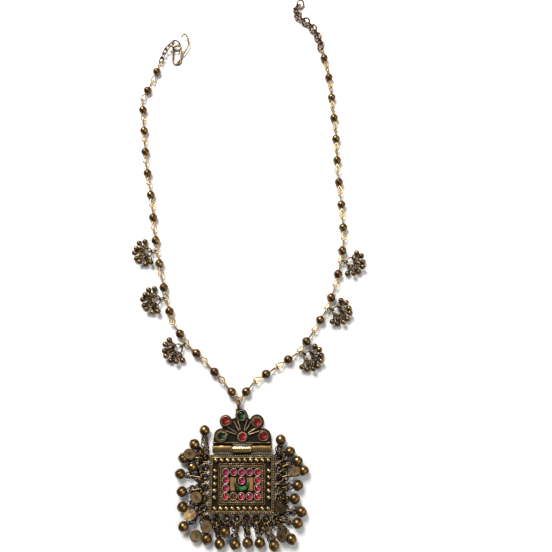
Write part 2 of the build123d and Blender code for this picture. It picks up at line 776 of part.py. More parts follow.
# The ring leans, so that the last link holds its high side and the hook's loop passes through it
ring_across = clasp_ring_end_radius * cos(radians(clasp_ring_roll))
ring_across -= (clasp_ring_wire + link_gap - cable_gap / 2) + clasp_ring_slack
ring_at = cable_joints[-1] + Vector(ring_across, -clasp_ring_slide - clasp_ring_length / 2,
                                    -clasp_ring_end_radius * sin(radians(clasp_ring_roll)))
ring_place = Plane(origin=ring_at, x_dir=toward(90), z_dir=toward(0, 90 - clasp_ring_roll))
clasp_ring = ring_place.location * link(clasp_ring_length, clasp_ring_end_radius, clasp_ring_wire)
clasp_ring.label = "clasp_ring"
pieces.append(clasp_ring)
with BuildPart(facing(on_pendant(*hook_place, hook_wire), 90, hook_tilt)) as clasp_hook:
    add(link(hook_loop_length, hook_loop_end_radius, hook_wire))
    with BuildLine() as bend:
        Spline(*hook_bends)
    add(sweep_wire(bend.wire(), hook_wire))
clasp_hook.part.label = "clasp_hook"
pieces.append(clasp_hook.part)

# Extension chain
extension_start = right_frames[-1].from_local_coords(Vector(bead_pitch / 2, 0, 0))
extension_pitch = 2 * (extension_radius - extension_wire) - extension_gap
extension_joints = steps_along(line_of(extension_route), extension_start, extension_pitch,
                               extension_rings + 1)
extension_frames = [
    between(extension_joints[n], extension_joints[n + 1], extension_lean * (-1) ** n)
    for n in range(extension_rings + 1)
]
extension_ring = ring(extension_radius, extension_wire)
pieces.append(string_of("extension_rings", extension_ring, extension_frames[:-1]))
pieces.append(string_of("end_ring", extension_ring, extension_frames[-1:]))

os.makedirs("parts", exist_ok=True)
for piece in pieces:
    export_step(piece, f"parts/{piece.label}.step")
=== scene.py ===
# %% [markdown]
# # A tribal pendant necklace, dressed in Blender
#
# The necklace lies open on a pale floor. Its exact metal parts come from a CAD model, which is loaded
# here as a fixed frame. This file gives every part its finish and adds what a CAD model leaves out,
# such as beaded wire, rolled rims and the relief on the coins. Blender works in metres here, so a
# millimetre is 0.001.

# %% Load the frame
import json
import math
import random

import bpy
import numpy as np
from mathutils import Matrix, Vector

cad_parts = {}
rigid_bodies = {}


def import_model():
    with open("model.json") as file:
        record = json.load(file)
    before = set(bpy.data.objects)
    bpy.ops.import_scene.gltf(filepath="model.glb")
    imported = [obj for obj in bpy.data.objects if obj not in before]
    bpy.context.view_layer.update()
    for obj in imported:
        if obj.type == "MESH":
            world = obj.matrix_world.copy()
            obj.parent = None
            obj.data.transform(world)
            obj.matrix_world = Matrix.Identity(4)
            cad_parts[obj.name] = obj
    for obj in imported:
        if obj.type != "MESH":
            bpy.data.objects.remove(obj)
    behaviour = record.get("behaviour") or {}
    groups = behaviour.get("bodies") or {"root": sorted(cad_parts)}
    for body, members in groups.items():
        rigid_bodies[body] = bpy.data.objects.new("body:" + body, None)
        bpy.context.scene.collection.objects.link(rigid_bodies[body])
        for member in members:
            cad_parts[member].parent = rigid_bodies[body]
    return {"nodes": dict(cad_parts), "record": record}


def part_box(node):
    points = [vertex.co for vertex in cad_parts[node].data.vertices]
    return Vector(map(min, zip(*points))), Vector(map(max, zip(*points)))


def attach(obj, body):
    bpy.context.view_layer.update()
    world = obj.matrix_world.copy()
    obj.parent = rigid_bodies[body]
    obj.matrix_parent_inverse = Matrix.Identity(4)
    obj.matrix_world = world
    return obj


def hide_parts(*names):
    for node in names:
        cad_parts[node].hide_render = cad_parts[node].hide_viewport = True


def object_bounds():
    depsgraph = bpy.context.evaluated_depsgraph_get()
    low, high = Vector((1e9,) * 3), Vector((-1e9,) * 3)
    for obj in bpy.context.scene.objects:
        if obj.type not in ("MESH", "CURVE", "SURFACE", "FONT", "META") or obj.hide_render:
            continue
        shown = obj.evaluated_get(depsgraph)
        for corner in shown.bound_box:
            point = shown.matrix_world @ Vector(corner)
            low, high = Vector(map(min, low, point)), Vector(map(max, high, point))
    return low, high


for thing in list(bpy.data.objects):
    bpy.data.objects.remove(thing)
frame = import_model()
cad_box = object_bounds()
nodes = frame["nodes"]
mm = 0.001
print("CAD nodes:", len(nodes), "box in mm:", [tuple(round(c / mm, 1) for c in corner) for corner in cad_box])

# %% [markdown]
# ## A little class for shader maths
#
# A material in Blender is a graph of nodes. Written out link by link it is hard to read, so a small class
# wraps one output socket and lets Python's own operators build the Math nodes: `1 - mask * 0.5` makes a
# Multiply and a Subtract. Colours don't go through Math nodes, which would turn them grey, so `blend`
# mixes colours with a Mix node. Every other node comes from the one method `node`.


# %% The socket class and the finish class
class Value:
    """An output socket that can be used in Python expressions."""

    def __init__(self, finish, socket):
        self.finish, self.socket = finish, socket

    def _math(self, operation, first, second):
        return self.finish.node("ShaderNodeMath", {"operation": operation}, {0: first, 1: second})

    def __add__(self, other):
        return self._math("ADD", self, other)

    def __radd__(self, other):
        return self._math("ADD", other, self)

    def __sub__(self, other):
        return self._math("SUBTRACT", self, other)

    def __rsub__(self, other):
        return self._math("SUBTRACT", other, self)

    def __mul__(self, other):
        if isinstance(other, tuple):
            return self.finish.node("ShaderNodeVectorMath", {"operation": "MULTIPLY"}, {0: self, 1: other})
        return self._math("MULTIPLY", self, other)

    def __rmul__(self, other):
        return self._math("MULTIPLY", other, self)


class Finish:
    """One material, with its Principled shader ready to be fed."""

    def __init__(self, name):
        self.material = bpy.data.materials.new(name)
        self.material.use_nodes = True
        self.nodes = self.material.node_tree.nodes
        self.links = self.material.node_tree.links
        self.shader = self.nodes["Principled BSDF"]

    def node(self, kind, settings=None, inputs=None, output=0):
        """A node of any kind: its settings are set first, then the values or links of its sockets."""
        made = self.nodes.new(kind)
        for key, setting in (settings or {}).items():
            setattr(made, key, setting)
        for key, given in (inputs or {}).items():
            self.feed(made.inputs[key], given)
        return Value(self, made.outputs[output])

    def feed(self, socket, given):
        if isinstance(given, Value):
            self.links.new(given.socket, socket)
        elif hasattr(socket.default_value, "__len__") and len(socket.default_value) == 4:
            socket.default_value = (*given, 1.0) if len(given) == 3 else given
        else:
            socket.default_value = given

    def set(self, **inputs):
        """Feeds sockets of the shader, named with _ for a space."""
        for key, given in inputs.items():
            self.feed(self.shader.inputs[key.replace("_", " ").title().replace("Ior", "IOR")], given)

    def place(self):
        """The surface point in the object's own frame, in metres."""
        return self.node("ShaderNodeTexCoord", output=3)

    def noise(self, size, detail=3.0, roughness=0.55):
        """A soft noise from 0 to 1, with features of a size in metres."""
        return self.node("ShaderNodeTexNoise", None, {
            "Vector": self.place(), "Scale": 1.0 / size, "Detail": detail, "Roughness": roughness})

    def spread(self, value, low, high):
        """value from low to high, stretched to run smoothly from 0 to 1."""
        return self.node("ShaderNodeMapRange", {"interpolation_type": "SMOOTHSTEP"}, {
            "Value": value, "From Min": low, "From Max": high})

    def blend(self, factor, first, second):
        """A mix of two colours."""
        return self.node("ShaderNodeMix", {"data_type": "RGBA", "blend_type": "MIX"}, {
            0: factor, 6: first, 7: second}, output=2)

    def bump(self, height, depth, strength=1.0):
        """A normal from a height, whose full range is depth metres."""
        return self.node("ShaderNodeBump", None, {
            "Height": height, "Distance": depth, "Strength": strength})

    def recess(self, reach):
        """1 in the open and 0 in a corner, from how much of the sky a point sees within a reach: a mask for
        painting shade into a colour.
        """
        return self.node("ShaderNodeAmbientOcclusion", {"samples": 6}, {"Distance": reach}, output=1)


print("helpers ready")

# %% [markdown]
# ## Aged brass
#
# Old brass jewellery is never one colour. Where fingers and cloth rub it, it is bright and yellow. On the
# flats it has gone brown, and polish and dirt stay in its corners. The near-black here is mostly painted
# shade, though: an ambient occlusion node tells how much of the sky a point sees past its neighbours and
# the floor, and the colour goes black in corners, between parts and on undersides near the floor. Real wear
# could be painted by hand, but here it is worked out, and noise at two sizes breaks the edges of the brown
# up. The colour stays metallic in all three layers, only rougher and darker where the metal is dull.


# %% The brass finish
def aged_brass(name, bright, brown, black, reach=1.2, open_at=(0.35, 0.85), gloss=(0.26, 0.6),
               tarnish=0.45, grain=0.03, low_shade=None, metal_share=1.0):
    """Brass with bright high places, brown flats and black recesses, the black partly dirt and mostly painted
    shade. Lengths are in millimetres.
    """
    finish = Finish(name)
    broad = finish.noise(3.1 * mm, 4.0)
    fine = finish.noise(0.45 * mm, 5.0, 0.6)
    # painted shade: the colour goes black where neighbours or the floor hide much of the sky within the reach
    sky = finish.recess(reach * mm)
    lit_and_rubbed = finish.spread(sky + (fine - 0.5) * 0.35, *open_at)
    # painted shade on low floors: surfaces from 1.2 mm over the floor up to the first given height go dark,
    # and the dark fades out by the second
    if low_shade:
        height = finish.node("ShaderNodeSeparateXYZ", None, {0: finish.place()}, output=2)
        lifted = finish.spread(height + (fine - 0.5) * 0.5 * mm, low_shade[0] * mm, low_shade[1] * mm)
        back = finish.spread(height, 1.2 * mm, 0.8 * mm)
        lit_and_rubbed = lit_and_rubbed * (lifted + back - lifted * back)
    patches = finish.spread(broad + (fine - 0.5) * 0.5, tarnish, tarnish + 0.3)
    flats = finish.blend(patches, brown, bright)
    specks = finish.spread(finish.noise(0.18 * mm, 2.0), 0.6, 0.75)
    metal = finish.blend(specks * 0.35, flats, brown)
    # base colour: brass where the metal is open, black where painted shade and dirt lie
    finish.set(
        base_color=finish.blend(lit_and_rubbed, black, metal),
        metallic=lit_and_rubbed * metal_share,
        specular_ior_level=0.12,
        roughness=gloss[1] - (gloss[1] - gloss[0]) * lit_and_rubbed * (0.55 + patches * 0.45) + specks * 0.08,
        normal=finish.bump(fine + broad * 0.6, grain * mm, 0.5),
    )
    return finish


# The third colour of each finish is the black of its painted shade and dirt, and the number after it is how
# far that shade reaches, in mm. The long reaches of the chain, clusters, curls, bells, links and heap also
# paint shade over the lower half of each piece, near the floor.
finishes = {
    # the pendant and the crest also get painted shade on their low floors, below the heights given last
    "pendant_brass": aged_brass("pendant_brass", (0.5, 0.35, 0.15), (0.24, 0.15, 0.06),
                                (0.008, 0.006, 0.004), 1.3, (0.4, 0.85), low_shade=(2.4, 3.1)),
    "crest_brass": aged_brass("crest_brass", (0.34, 0.23, 0.1), (0.13, 0.08, 0.035),
                              (0.008, 0.006, 0.004), 1.5, (0.4, 0.9), low_shade=(1.7, 3.5)),
    "frame_brass": aged_brass("frame_brass", (0.6, 0.46, 0.26), (0.24, 0.16, 0.075),
                              (0.006, 0.004, 0.003), 1.2, (0.6, 0.97)),
    "ray_brass": aged_brass("ray_brass", (0.5, 0.38, 0.22), (0.3, 0.2, 0.11),
                            (0.008, 0.006, 0.004), 1.2, (0.35, 0.85)),
    "copper_rim": aged_brass("copper_rim", (0.54, 0.37, 0.28), (0.34, 0.21, 0.15),
                             (0.02, 0.012, 0.009), 0.5, (0.1, 0.5), (0.3, 0.45), metal_share=0.65),
    "orange_foil": aged_brass("orange_foil", (0.5, 0.2, 0.07), (0.1, 0.035, 0.012),
                              (0.02, 0.01, 0.006), 0.9, (0.3, 0.8), (0.2, 0.4), 0.4),
    "grain_brass": aged_brass("grain_brass", (0.6, 0.45, 0.23), (0.3, 0.2, 0.09),
                              (0.012, 0.009, 0.006), 1.6, (0.3, 0.9), (0.2, 0.45)),
    "worn_brown_brass": aged_brass("worn_brown_brass", (0.32, 0.21, 0.085), (0.17, 0.105, 0.042),
                                   (0.012, 0.009, 0.006), 1.2, (0.2, 0.7), (0.3, 0.5)),
    "polished_brass": aged_brass("polished_brass", (0.85, 0.66, 0.34), (0.6, 0.43, 0.19),
                                 (0.03, 0.02, 0.01), 0.8, (0.1, 0.6), (0.16, 0.4), 0.3),
    # a darker copy of disc_bronze for the tilted discs: painted shade that keeps them from shining white in
    # the window light
    "tilted_disc_shaded_bronze": aged_brass("tilted_disc_shaded_bronze", (0.27, 0.185, 0.095), (0.15, 0.095, 0.046),
                                (0.02, 0.014, 0.008), 0.8, (0.2, 0.8), (0.6, 0.75), 0.35),
    "patch_tan": aged_brass("patch_tan", (0.33, 0.18, 0.065), (0.22, 0.115, 0.042),
                            (0.03, 0.018, 0.01), 0.8, (0.1, 0.6), (0.5, 0.65), 0.3, metal_share=0.4),
    "chain_bronze": aged_brass("chain_bronze", (0.36, 0.22, 0.085), (0.1, 0.056, 0.023),
                               (0.012, 0.008, 0.005), 4.5, (0.4, 0.98), (0.2, 0.5)),
    "yellow_brass": aged_brass("yellow_brass", (0.68, 0.47, 0.19), (0.4, 0.26, 0.1),
                               (0.03, 0.02, 0.01), 0.7, (0.15, 0.6), (0.2, 0.5)),
    "cluster_brass": aged_brass("cluster_brass", (0.42, 0.27, 0.115), (0.11, 0.065, 0.027),
                                (0.008, 0.006, 0.004), 3.2, (0.45, 0.97), (0.22, 0.5)),
    "curl_brass": aged_brass("curl_brass", (0.46, 0.34, 0.18), (0.11, 0.07, 0.032),
                             (0.006, 0.005, 0.004), 2.6, (0.4, 0.97), (0.24, 0.5)),
    "bell_brass": aged_brass("bell_brass", (0.42, 0.265, 0.1), (0.13, 0.075, 0.028),
                             (0.01, 0.007, 0.004), 5.0, (0.35, 0.97), (0.22, 0.5)),
    "link_brass": aged_brass("link_brass", (0.56, 0.42, 0.21), (0.25, 0.16, 0.07),
                             (0.01, 0.007, 0.005), 2.4, (0.4, 0.95), (0.25, 0.5)),
    # near-black bronze for the heap of jump rings, which also paints the shade among the loops and links
    "heap_shade_bronze": aged_brass("heap_shade_bronze", (0.34, 0.23, 0.1), (0.07, 0.042, 0.018),
                              (0.006, 0.004, 0.003), 3.6, (0.5, 0.99), (0.26, 0.55)),
    "disc_bronze": aged_brass("disc_bronze", (0.36, 0.25, 0.12), (0.13, 0.09, 0.042),
                              (0.012, 0.009, 0.006), 1.2, (0.3, 0.85), (0.34, 0.6), 0.4),
    "clasp_brass": aged_brass("clasp_brass", (0.26, 0.18, 0.1), (0.085, 0.055, 0.032),
                              (0.012, 0.009, 0.006), 1.6, (0.35, 0.9), (0.22, 0.5)),
    "rose_brass": aged_brass("rose_brass", (0.42, 0.25, 0.15), (0.15, 0.085, 0.05),
                             (0.012, 0.008, 0.005), 3.0, (0.4, 0.95), (0.22, 0.5)),
}
print("brass finishes:", len(finishes))

# %% [markdown]
# ## Glass stones
#
# The stones are cheap foiled glass: light goes in through the facets, meets a mirror-like foil behind and
# comes back in the stone's colour. True refraction would need a foil cup behind each stone and many light
# bounces. A tinted, half metallic body under a clear coat gives the same flash from each facet, and it is
# far quicker and keeps its look in an exported model. The light that the foil gathers is painted: each stone
# glows faintly, glows brightly in a spot at its lower right, and is painted lighter in that spot and where it
# faces the camera.


# %% The stone finish
def foiled_glass(name, deep, lit, spark, glow=1.0):
    """Coloured glass over foil, with painted light. Light from the upper left would gather at the lower right
    of the stone, so a glow is painted there, and the stone is painted lighter there and where it faces the
    camera.
    """
    finish = Finish(name)
    within = finish.node("ShaderNodeTexCoord", output=0)
    offset = finish.node("ShaderNodeVectorMath", {"operation": "DISTANCE"}, {
        0: within * (1.0, 1.0, 0.0), 1: (0.64, 0.36, 0.0)}, output=1)
    # painted glow: a spot at the lower right of the stone, in its own coordinates
    glow_spot = finish.spread(offset, 0.42, 0.08)
    cloud = finish.noise(0.8 * mm, 2.0)
    # painted light: the colour runs from deep to lit, lighter in the glow spot and where the stone faces the
    # camera; the cloud varies it at random
    facing = finish.node("ShaderNodeLayerWeight", None, {"Blend": 0.4}, output=1)
    tone = finish.spread(glow_spot * 0.7 + (cloud - 0.5) * 0.9 + (1 - facing) * 0.3, 0.25, 1.0)
    colour = finish.blend(tone, deep, lit)
    # painted light: the whole stone glows faintly in its deep colour, and the spot glows brightly in the
    # spark colour
    strength = 0.04 + glow
    dim = tuple(channel * 0.04 / strength for channel in deep)
    finish.set(base_color=colour, metallic=0.35, roughness=0.1, coat_weight=1.0, coat_roughness=0.03,
               specular_ior_level=0.6, emission_color=finish.blend(glow_spot * glow_spot, dim, spark),
               emission_strength=strength)
    return finish


# each stone: its shaded colour, its lit colour, the colour of its painted glow, and the glow's strength
finishes.update({
    "ruby_glass": foiled_glass("ruby_glass", (0.1, 0.002, 0.022), (0.5, 0.012, 0.1), (0.75, 0.03, 0.2), 0.16),
    "red_ruby_glass": foiled_glass("red_ruby_glass", (0.12, 0.002, 0.01), (0.6, 0.01, 0.045),
                                   (0.9, 0.02, 0.08), 0.25),
    "red_glass": foiled_glass("red_glass", (0.1, 0.002, 0.004), (0.3, 0.004, 0.01),
                              (0.85, 0.012, 0.03), 0.2),
    "dark_green_glass": foiled_glass("dark_green_glass", (0.001, 0.004, 0.002), (0.003, 0.03, 0.01),
                                     (0.01, 0.3, 0.06), 0.25),
    "emerald_glass": foiled_glass("emerald_glass", (0.001, 0.05, 0.012), (0.005, 0.26, 0.06),
                                  (0.03, 0.5, 0.15), 0.15),
})
print("all finishes:", sorted(finishes))

# %% Give every CAD node the finish of its slot, and the crest its own darker brass
slot_of = {row["node"]: row["material_slot"] for row in frame["record"]["subparts"]}
for name, node in nodes.items():
    node.data.materials.clear()
    chosen = "crest_brass" if name == "crest" else slot_of[name]
    node.data.materials.append(finishes[chosen].material)
print("nodes with a finish:", len(slot_of))

# %% [markdown]
# ## Shapes from plain numbers
#
# The added pieces are small and there are hundreds of them, so modelling each by hand would take days. Each
# shape here is a list of points and a list of faces in millimetres. Shapes are placed, gathered and turned
# into one mesh a piece, which is far quicker than adding objects and joining them.


# %% Shapes
def grid_faces(rows, columns, start=0):
    """Quads between rows of points, each row closed on itself."""
    return [(start + r * columns + c, start + r * columns + (c + 1) % columns,
             start + (r + 1) * columns + (c + 1) % columns, start + (r + 1) * columns + c)
            for r in range(rows - 1) for c in range(columns)]


def ball(radius, rings=8, segments=12):
    """A round grain."""
    points = []
    for r in range(rings + 1):
        rise = math.pi * (r / rings - 0.5) * 0.998
        for s in range(segments):
            turn = 2 * math.pi * s / segments
            points.append((radius * math.cos(rise) * math.cos(turn), radius * math.cos(rise) * math.sin(turn),
                           radius * math.sin(rise)))
    return np.array(points), grid_faces(rings + 1, segments)


def tube(path, radius, closed=False, sides=8):
    """A wire along a path of points; radius is one number or one for each point."""
    path = np.asarray(path, float)
    count = len(path)
    radii = np.broadcast_to(radius, count)
    ahead = np.roll(path, -1, 0) - np.roll(path, 1, 0)
    if not closed:
        ahead[0], ahead[-1] = path[1] - path[0], path[-1] - path[-2]
    ahead /= np.linalg.norm(ahead, axis=1)[:, None]
    side = np.cross(ahead[0], (0, 0, 1) if abs(ahead[0][2]) < 0.9 else (1, 0, 0))
    points = []
    for place, forward, size in zip(path, ahead, radii):
        side = side - forward * side.dot(forward)
        side /= np.linalg.norm(side)
        up = np.cross(forward, side)
        for s in range(sides):
            turn = 2 * math.pi * s / sides
            points.append(place + size * (math.cos(turn) * side + math.sin(turn) * up))
    faces = grid_faces(count, sides)
    if closed:
        last = (count - 1) * sides
        first = np.array(points[:sides])
        shift = int(np.argmin(np.linalg.norm(first - points[last], axis=1)))
        faces += [(last + s, last + (s + 1) % sides, (s + 1 + shift) % sides, (s + shift) % sides)
                  for s in range(sides)]
    else:
        faces += [tuple(range(sides))[::-1], tuple(range((count - 1) * sides, count * sides))]
    return np.array(points), faces


def circle(middle, radius, normal=(0, 0, 1), steps=32, start=0.0, sweep=360.0, begin=(1, 0, 0)):
    """Points round a circle or an arc of it."""
    normal = Vector(normal).normalized()
    first = (Vector(begin) - normal * Vector(begin).dot(normal)).normalized()
    second = normal.cross(first)
    whole = abs(sweep) >= 360
    turns = [math.radians(start + sweep * n / (steps if whole else steps - 1)) for n in range(steps)]
    return np.array([Vector(middle) + radius * (math.cos(t) * first + math.sin(t) * second) for t in turns])


def rectangle(middle, width, height, z, corner=0.6, step=0.35):
    """Points round a rectangle with round corners."""
    half_width, half_height = width / 2 - corner, height / 2 - corner
    corners = []
    for x, y, turn in ((1, 1, 0), (-1, 1, 90), (-1, -1, 180), (1, -1, 270)):
        corners += list(circle((middle[0] + x * half_width, middle[1] + y * half_height, z), corner,
                               steps=5, start=turn, sweep=90))
    return walk(np.array(corners), step, closed=True)


def walk(points, step, closed=False):
    """Evenly spaced points along a line of points."""
    points = np.asarray(points, float)
    if closed:
        points = np.vstack([points, points[:1]])
    lengths = np.r_[0, np.cumsum(np.linalg.norm(np.diff(points, axis=0), axis=1))]
    count = max(2, int(round(lengths[-1] / step)))
    at = np.linspace(0, lengths[-1], count + (0 if closed else 1), endpoint=not closed)
    return np.stack([np.interp(at, lengths, points[:, i]) for i in range(3)], 1)


def rope(path, strand, pitch, step=0.12, strands=2):
    """Wires twisted round each other along a path."""
    path = walk(path, step)
    ahead = np.gradient(path, axis=0)
    ahead /= np.linalg.norm(ahead, axis=1)[:, None]
    side = np.cross(ahead, (0, 0, 1))
    up = np.cross(side, ahead)
    along = np.arange(len(path)) * step
    shapes = []
    for number in range(strands):
        turn = 2 * math.pi * (along / pitch + number / strands)
        shapes.append(tube(path + strand * (np.cos(turn)[:, None] * side + np.sin(turn)[:, None] * up),
                           strand * 1.05, sides=6))
    return shapes


def at_places(shape, places):
    """Copies of a shape, one moved to each place."""
    points, faces = shape
    return [(points + np.asarray(place), faces) for place in places]


def piece(name, shapes, finish, body, smooth=True):
    """Turns shapes in millimetres into one object with a finish, which rides on a body."""
    points, faces, start = [], [], 0
    for shape_points, shape_faces in shapes:
        points.append(shape_points)
        faces += [tuple(corner + start for corner in face) for face in shape_faces]
        start += len(shape_points)
    mesh = bpy.data.meshes.new(name)
    mesh.from_pydata(np.vstack(points) * mm, [], faces)
    mesh.polygons.foreach_set("use_smooth", [smooth] * len(faces))
    mesh.update()
    made = bpy.data.objects.new(name, mesh)
    bpy.context.collection.objects.link(made)
    made.data.materials.append(finishes[finish].material)
    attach(made, body)
    print(f"{name}: {len(points)} shapes, {len(faces)} faces")
    return made


# %% [markdown]
# ## Finding the CAD's own places
#
# An added piece must sit exactly on the metal it belongs to. Copying numbers out of the CAD would go wrong at
# the first change, so the places are read from the loaded frame: a node's box gives the middle of a stone,
# and a node that holds several loose parts is taken apart to find each bead, bell or disc.


# %% Reading places
def middle_of(name):
    """The middle of a node's box in millimetres."""
    low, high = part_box(name)
    return (low + high) / 2 / mm


def loose_parts(name):
    """The loose parts of a node, each as its points in mm and its faces' middles, normals and areas."""
    mesh = nodes[name].data
    places = np.empty(len(mesh.vertices) * 3)
    mesh.vertices.foreach_get("co", places)
    places = places.reshape(-1, 3) / mm
    welded, label = np.unique(np.round(places, 4), axis=0, return_inverse=True)
    label = label.reshape(-1)
    edges = np.empty(len(mesh.edges) * 2, int)
    mesh.edges.foreach_get("vertices", edges)
    first, second = label[edges.reshape(-1, 2)].T
    group = np.arange(len(welded))
    while True:
        lowest = np.minimum(group[first], group[second])
        before = group.copy()
        np.minimum.at(group, first, lowest)
        np.minimum.at(group, second, lowest)
        group = group[group]
        if (group == before).all():
            break
    count = len(mesh.polygons)
    middles, normals, areas = np.empty(count * 3), np.empty(count * 3), np.empty(count)
    mesh.polygons.foreach_get("center", middles)
    mesh.polygons.foreach_get("normal", normals)
    mesh.polygons.foreach_get("area", areas)
    starts = np.empty(count, int)
    mesh.polygons.foreach_get("loop_start", starts)
    corners = np.empty(len(mesh.loops), int)
    mesh.loops.foreach_get("vertex_index", corners)
    face_group = group[label[corners[starts]]]
    middles, normals = middles.reshape(-1, 3) / mm, normals.reshape(-1, 3)
    return [{"points": welded[group == g], "middles": middles[face_group == g],
             "normals": normals[face_group == g], "areas": areas[face_group == g] / mm ** 2}
            for g in np.unique(group)]


def flat_normal(part):
    """The direction that the part's largest flat faces look in."""
    keys, label = np.unique(np.round(part["normals"], 2), axis=0, return_inverse=True)
    areas = np.bincount(label.reshape(-1), part["areas"])
    return Vector(keys[areas.argmax()]).normalized()


def ball_middle(part, radius):
    """The middle of the ball in a part, and the area that agrees: a radius below each of its round faces."""
    below = part["middles"] - part["normals"] * radius
    boxes, label = np.unique(np.round(below / 0.25), axis=0, return_inverse=True)
    crowded = boxes[np.bincount(label.reshape(-1), part["areas"]).argmax()] * 0.25
    near = np.linalg.norm(below - crowded, axis=1) < 0.35
    weights = part["areas"][near]
    return Vector((below[near] * weights[:, None]).sum(0) / weights.sum()), weights.sum()


hinge = middle_of("hinge_pin")
plate_middle = hinge + Vector((0, -17.9, 0))
plate_top = 1.7
print("hinge at", [round(c, 2) for c in hinge])

# %% [markdown]
# ## Beaded wire round the plate
#
# The plate's frames are rows of tiny grains, made by rolling soft wire under a grooved file. In Blender one
# could put a beaded texture on a plain strip, but the light would give it away at the edges. Real grains cost
# little, so a grain is put at every step of a rectangle, each a bit off in size and place, as soldered
# grains are. Plain wires border the rows.

# %% Frames of grains and wire
random.seed(4)


def beaded_row(path, radius):
    """Grains at every point of a path, none quite like the next."""
    shapes = []
    for place in path:
        size = radius * random.uniform(0.93, 1.05)
        jitter = Vector((random.uniform(-0.03, 0.03), random.uniform(-0.03, 0.03),
                         random.uniform(-0.04, 0.02)))
        points, faces = ball(size, 6, 8)
        shapes.append((points + np.array(Vector(place) + jitter), faces))
    return shapes


rail_top = 2.7
piece("plate_outer_grains", beaded_row(rectangle(plate_middle, 33.9, 28.9, rail_top + 0.02, 0.5, 1.28), 0.52),
      "frame_brass", "plate_and_bells")
piece("plate_inner_grains", beaded_row(rectangle(plate_middle, 22.5, 18.5, rail_top + 0.02, 0.4, 1.2), 0.48),
      "frame_brass", "plate_and_bells")
piece("plate_frame_wires", [
    tube(rectangle(plate_middle, 32.2, 27.2, rail_top - 0.15, 0.4), 0.3, closed=True),
    tube(rectangle(plate_middle, 24.6, 20.6, plate_top + 0.25, 0.4), 0.3, closed=True),
    tube(rectangle(plate_middle, 20.9, 16.9, rail_top - 0.25, 0.4), 0.22, closed=True),
], "frame_brass", "plate_and_bells")

# %% [markdown]
# ## Loops round the rim
#
# Twenty loops of wire are soldered side by side round three edges of the plate. They were bent from drawn
# wire and are lighter than the plate, so each gets its own thin skin of wire, with a small swelling where
# its ends were closed with solder.

# %% Rim loops
loop_spots = [(side * 19.88, -17.4 - (n - 2.5) * 5.2, 180 if side < 0 else 0)
              for side in (-1, 1) for n in range(6)]
loop_spots += [((n - 3.5) * 5.3, -35.28, 270) for n in range(8)]
rim_loops = []
for x, y, outward in loop_spots:
    path = circle((hinge.x + x, hinge.y + y, 1.75), 2.22, steps=44, start=outward)
    joint = 0.045 * np.exp(-(np.minimum(np.arange(44), 44 - np.arange(44)) / 2.0) ** 2)
    rim_loops.append(tube(path, 0.375 + joint, closed=True, sides=10))
piece("plate_rim_loops", rim_loops, "link_brass", "plate_and_bells")

# %% [markdown]
# ## Bezels
#
# Each stone is held by a thin rim of metal, burnished down over its edge. The small ones on the plate are
# smooth and coppery. The one at the crest's foot is cut into teeth. A rim is a wire bent round the stone's
# outline with its height or width varied along the way, so a toothed rim needs no separate teeth.

# %% Bezels of the plate
border_stones = sorted(name for name in nodes if name.startswith("border_stone") or name == "centre_stone")


def rim_round(outline, radius, unevenness=0.04):
    """A burnished rim along a closed outline, its thickness a little uneven."""
    wave = np.array([random.uniform(-1, 1) for n in range(len(outline))])
    wave = (wave + np.roll(wave, 1) + np.roll(wave, 2)) / 3
    return tube(outline, radius + unevenness * wave, closed=True)


cup_top = 3.1
plate_rims = []
for name in border_stones:
    middle = middle_of(name)
    plate_rims.append(rim_round(circle((middle.x, middle.y, cup_top), 1.78), 0.26))
empty_cup = plate_middle + Vector((-4.28, -1.5 * 4.07, 0))
plate_rims.append(rim_round(circle((empty_cup.x, empty_cup.y, cup_top), 1.82), 0.24))
piece("plate_bezels", plate_rims, "copper_rim", "plate_and_bells")

# %% Crest stones: name, stone radius, reach of its point, heading of the point
crest_stones = {
    "crest_stone_upper_left": ((-9.3, 14.9), 1.9, 0, 0),
    "crest_stone_top": ((-0.6, 17.9), 2.1, 0, 0),
    "crest_stone_upper_right": ((7.9, 14.6), 1.7, 2.5, -90),
    "crest_stone_lower_left": ((-11.5, 6.9), 1.7, 2.6, 20),
    "crest_stone_lower_right": ((11.5, 6.8), 1.95, 0, 0),
    "crest_stone_foot": ((0.0, 6.5), 1.95, 0, 0),
}


def outline_of(spot, radius, point, heading, grow, z, steps=48):
    """The outline of a round or a drop-shaped stone, grown outwards by a distance."""
    tip_turn = math.radians(heading)
    middle = Vector((hinge.x + spot[0], hinge.y + spot[1], z))
    if not point:
        return circle(middle, radius + grow, steps=steps)
    tip = middle + (point + radius * 0.25 + grow) * Vector((math.cos(tip_turn), math.sin(tip_turn), 0))
    opening = 62
    arc = circle(middle, radius + grow, start=heading + opening, sweep=360 - 2 * opening, steps=steps)
    return walk(np.vstack([arc, [tip]]), 0.25, closed=True)


crest_cup_top = 3.3
crest_rims = []
for name, (spot, radius, point, heading) in crest_stones.items():
    if name == "crest_stone_foot":
        continue
    crest_rims.append(rim_round(outline_of(spot, radius, point, heading, 0.48, crest_cup_top), 0.24))
    crest_rims.append(rim_round(outline_of(spot, radius, point, heading, 1.15, 1.8), 0.22))
piece("crest_bezels", crest_rims, "frame_brass", "crest_and_chain")

teeth = 18
foot_spot = Vector((hinge.x, hinge.y + 6.5, 0))
toothed = circle((foot_spot.x, foot_spot.y, crest_cup_top), 1.0, steps=teeth * 8)
spokes = toothed - np.array((foot_spot.x, foot_spot.y, crest_cup_top))
wave = 0.5 + 0.5 * np.cos(np.arange(len(spokes)) * 2 * math.pi / 8)
toothed = np.array((foot_spot.x, foot_spot.y, crest_cup_top)) + spokes * (2.05 + 0.5 * wave)[:, None]
toothed[:, 2] = crest_cup_top + 0.16 - 0.3 * wave
piece("crest_foot_bezel", [tube(toothed, 0.17, closed=True)], "copper_rim", "crest_and_chain")

